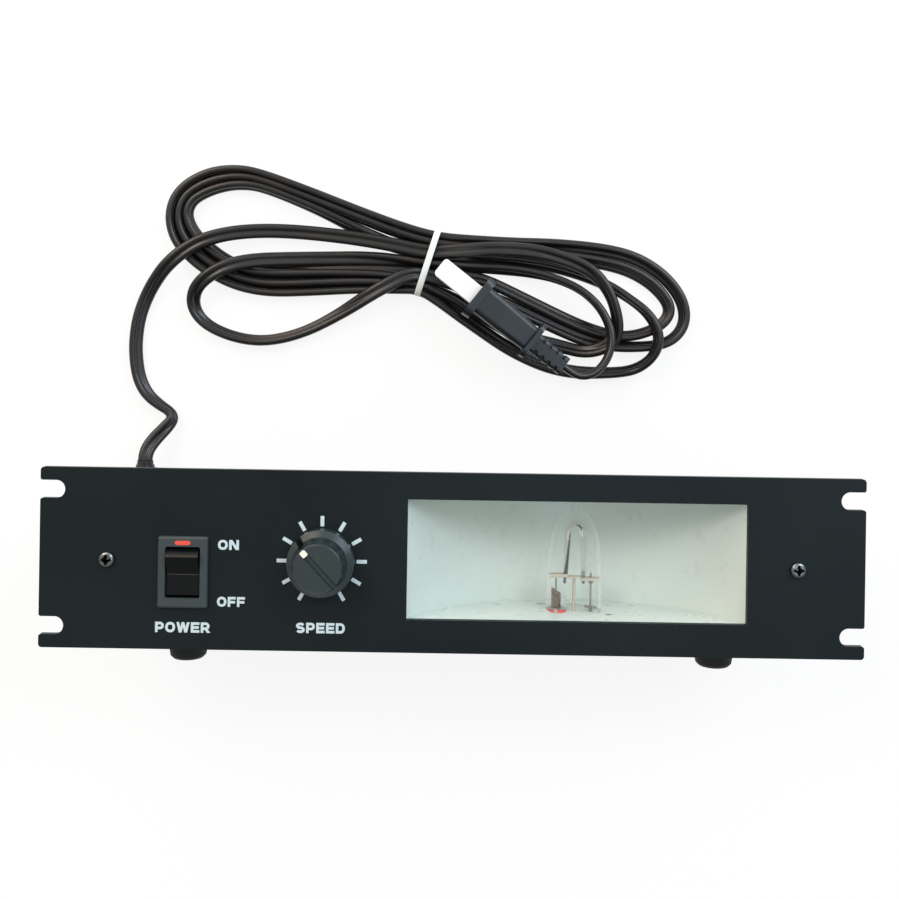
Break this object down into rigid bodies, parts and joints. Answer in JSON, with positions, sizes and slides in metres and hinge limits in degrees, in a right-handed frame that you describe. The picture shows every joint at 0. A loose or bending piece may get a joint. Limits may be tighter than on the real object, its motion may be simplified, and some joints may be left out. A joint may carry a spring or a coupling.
{
  "type": "xenon stroboscope",
  "caption": "Long flat-panel xenon stroboscope with rocker switch, speed knob, domed flash lamp in a white reflector, rubber feet and tied mains cord.",
  "frame": {"origin": "on the surface under the housing's back, at the middle of the unit's outline without its cord", "axes": "+X right along the panel, +Y the unit's own up, away from its rubber feet, +Z out of the panel; stored lying on its back"},
  "size_m": [0.366, 0.2354, 0.1],
  "materials": {
    "panel_paint": "fine satin black enamel",
    "bright_screw": "bright plated steel",
    "housing_paint": "black enamel on folded steel",
    "zinc_steel": "zinc plated",
    "foot_rubber": "matt black rubber",
    "reflector_enamel": "gloss white enamel",
    "lamp_glass": "clear",
    "tube_glass": "clear quartz",
    "dark_metal": "dark oxidised metal",
    "nickel_wire": "nickel wire",
    "tan_ceramic": "unglazed ceramic",
    "white_ceramic": "unglazed ceramic",
    "red_seal": "red sealing compound",
    "black_moulding": "semi-gloss moulding",
    "rocker_plastic": "semi-gloss moulding",
    "red_paint": "painted mark",
    "tinned_brass": "tinned brass",
    "knob_plastic": "satin phenolic moulding",
    "white_paint": "painted mark",
    "aluminium_shaft": "turned",
    "board_laminate": "phenolic laminate",
    "capacitor_sleeve": "printed sleeve",
    "wire_insulation": "insulated hook-up wire",
    "cord_rubber": "semi-matt black cord compound",
    "tie_plastic": "white plastic strap",
    "cover_plastic": "white plastic blade cover"
  },
  "bodies": {
    "unit": {"blade_cover": "cover_plastic", "board_screws": "zinc_steel", "board_standoffs": "tinned_brass", "bottom_cover": "housing_paint", "chassis": "housing_paint", "circuit_board": "board_laminate", "cord_bushing": "cord_rubber", "cord_hank": "cord_rubber", "cord_tie": "tie_plastic", "cover_screws": "zinc_steel", "diodes": "black_moulding", "discharge_capacitors": "capacitor_sleeve", "flash_tube": "tube_glass", "foot_nuts": "zinc_steel", "foot_screws": "zinc_steel", "front_panel": "panel_paint", "fuse": "lamp_glass", "fuse_clips": "tinned_brass", "lamp_base": "white_ceramic", "lamp_electrodes": "dark_metal", "lamp_envelope": "lamp_glass", "lamp_getter_foil": "dark_metal", "lamp_lead_wires": "nickel_wire", "lamp_pins": "nickel_wire", "lamp_seal_ring": "red_seal", "lamp_seal_sleeves": "lamp_glass", "lamp_socket": "white_ceramic", "lamp_spacer": "tan_ceramic", "lamp_star_washer": "nickel_wire", "lamp_support_rod": "nickel_wire", "lamp_wires": "wire_insulation", "mains_cord_run": "cord_rubber", "panel_screws": "bright_screw", "plug_blades": "tinned_brass", "plug_body": "cord_rubber", "plug_cord_tail": "cord_rubber", "pot_body": "zinc_steel", "pot_bushing": "tinned_brass", "pot_nut": "tinned_brass", "pot_terminals": "tinned_brass", "pot_washer": "zinc_steel", "power_resistor": "white_ceramic", "reflector_back": "reflector_enamel", "reflector_floor": "reflector_enamel", "reflector_roof": "reflector_enamel", "reflector_screws": "zinc_steel", "rubber_feet": "foot_rubber", "socket_screws": "zinc_steel", "switch_body": "black_moulding", "switch_mark": "red_paint", "switch_terminals": "tinned_brass", "switch_wires": "wire_insulation", "thyristor": "black_moulding", "timing_capacitor": "tan_ceramic", "trigger_coil": "capacitor_sleeve"},
    "rocker": {"switch_rocker": "rocker_plastic"},
    "speed_control": {"speed_knob": "knob_plastic", "knob_pointer": "white_paint", "knob_set_screw": "zinc_steel", "pot_shaft": "aluminium_shaft"}
  },
  "joints": [
    {"name": "power_rocker", "type": "hinge", "parent": "unit", "child": "rocker", "pos_m": [-0.11915, -0.0003, 0.0785], "axis": [-1, 0, 0], "range_deg": [0, 24]},
    {"name": "speed_turn", "type": "hinge", "parent": "unit", "child": "speed_control", "pos_m": [-0.05785, 0.00536, 0.083], "axis": [0, 0, 1], "range_deg": [-193, 107]}
  ]
}
